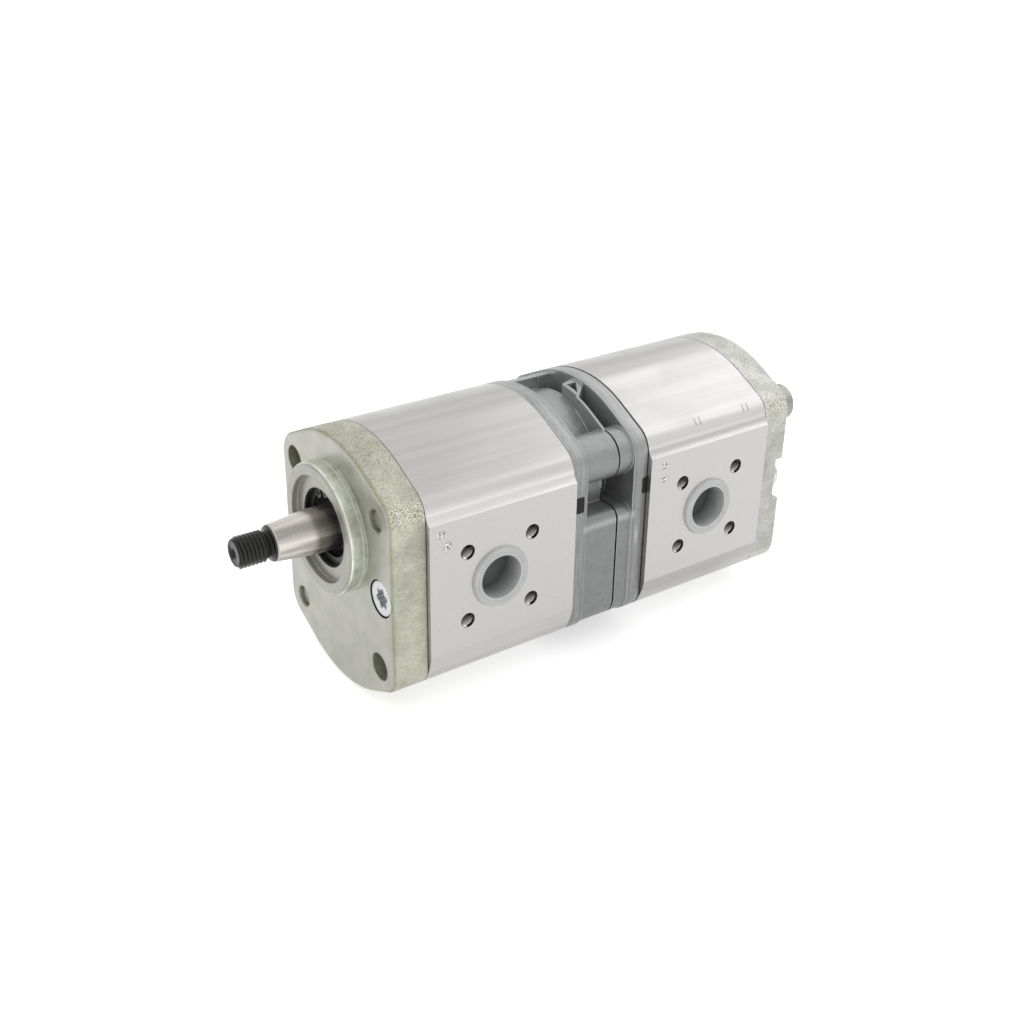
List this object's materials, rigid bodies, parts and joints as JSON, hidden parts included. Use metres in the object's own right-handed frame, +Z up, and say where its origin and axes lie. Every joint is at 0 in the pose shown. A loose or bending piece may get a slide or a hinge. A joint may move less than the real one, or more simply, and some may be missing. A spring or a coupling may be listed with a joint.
{
  "type": "tandem gear pump",
  "caption": "Tandem external gear pump with a tapered shaft, a pilot flange, two aluminium gear stages, a pocketed cast intermediate and side ports closed by shipping plugs.",
  "frame": {"origin": "the drive shaft's axis in the plane of the front cover's mounting face, at the foot of the pilot", "axes": "-Y out along the shaft end, +Y along the pump to its rear cover, +X to the suction port side, +Z up from the driven gears to the drive shaft"},
  "size_m": [0.0868, 0.2361, 0.101],
  "materials": {
    "bearing_aluminium": "machined",
    "bearing_bronze": "rolled bush",
    "bright_zinc_steel": "bright zinc",
    "case_hardened_steel": "hardened, grey",
    "die_cast_aluminium": "as cast, dull mid grey",
    "dowel_steel": "ground",
    "extruded_aluminium": "satin extrusion, drawn along its length",
    "ground_steel": "ground",
    "nitrile_rubber": "moulded",
    "plated_bolt_steel": "zinc plated",
    "plated_cast_iron": "zinc plated, matt with a faint olive tint",
    "shipping_plastic": "soft, slightly translucent",
    "spring_steel": "phosphated, black"
  },
  "bodies": {
    "casing": {"front_bearing_block_front": "bearing_aluminium", "front_bearing_block_rear": "bearing_aluminium", "front_body": "extruded_aluminium", "front_body_seal": "nitrile_rubber", "front_cover": "plated_cast_iron", "front_cover_dowels": "dowel_steel", "front_cover_screws": "bright_zinc_steel", "front_drive_bush_front": "bearing_bronze", "front_drive_bush_rear": "bearing_bronze", "front_driven_bush_front": "bearing_bronze", "front_driven_bush_rear": "bearing_bronze", "front_joint_dowels": "dowel_steel", "front_joint_seal": "nitrile_rubber", "front_pressure_plug": "shipping_plastic", "front_pressure_seal_front": "nitrile_rubber", "front_pressure_seal_rear": "nitrile_rubber", "front_suction_plug": "shipping_plastic", "intermediate_front_half": "die_cast_aluminium", "intermediate_rear_half": "die_cast_aluminium", "rear_bearing_block_front": "bearing_aluminium", "rear_bearing_block_rear": "bearing_aluminium", "rear_body": "extruded_aluminium", "rear_body_seal": "nitrile_rubber", "rear_cover": "plated_cast_iron", "rear_cover_dowels": "dowel_steel", "rear_cover_screws": "bright_zinc_steel", "rear_drive_bush_front": "bearing_bronze", "rear_drive_bush_rear": "bearing_bronze", "rear_driven_bush_front": "bearing_bronze", "rear_driven_bush_rear": "bearing_bronze", "rear_joint_dowels": "dowel_steel", "rear_joint_seal": "nitrile_rubber", "rear_pressure_plug": "shipping_plastic", "rear_pressure_seal_front": "nitrile_rubber", "rear_pressure_seal_rear": "nitrile_rubber", "rear_suction_plug": "shipping_plastic", "seal_circlip": "spring_steel", "seam_dowels": "dowel_steel", "seam_seal": "nitrile_rubber", "shaft_seal": "nitrile_rubber", "tie_bolts": "plated_bolt_steel"},
    "drive_shaft": {"front_drive_shaft": "ground_steel"},
    "front_driven": {"front_driven_gear": "ground_steel"},
    "coupling": {"coupling_dog": "case_hardened_steel"},
    "rear_drive": {"rear_drive_shaft": "ground_steel"},
    "rear_driven": {"rear_driven_gear": "ground_steel"}
  },
  "joints": [
    {"name": "drive_shaft_spin", "type": "hinge", "parent": "casing", "child": "drive_shaft", "pos_m": [0, 0, 0], "axis": [0, 1, 0], "continuous": true},
    {"name": "front_driven_spin", "type": "hinge", "parent": "casing", "child": "front_driven", "pos_m": [0, 0, -0.031], "axis": [0, 1, 0], "continuous": true},
    {"name": "coupling_spin", "type": "hinge", "parent": "casing", "child": "coupling", "pos_m": [0, 0, 0], "axis": [0, 1, 0], "continuous": true},
    {"name": "rear_drive_spin", "type": "hinge", "parent": "casing", "child": "rear_drive", "pos_m": [0, 0, 0], "axis": [0, 1, 0], "continuous": true},
    {"name": "rear_driven_spin", "type": "hinge", "parent": "casing", "child": "rear_driven", "pos_m": [0, 0, -0.031], "axis": [0, 1, 0], "continuous": true}
  ],
  "couplings": [
    {"joint": "front_driven_spin", "follows": "drive_shaft_spin", "ratio": -1},
    {"joint": "coupling_spin", "follows": "drive_shaft_spin", "ratio": 1},
    {"joint": "rear_drive_spin", "follows": "drive_shaft_spin", "ratio": 1},
    {"joint": "rear_driven_spin", "follows": "drive_shaft_spin", "ratio": -1}
  ]
}
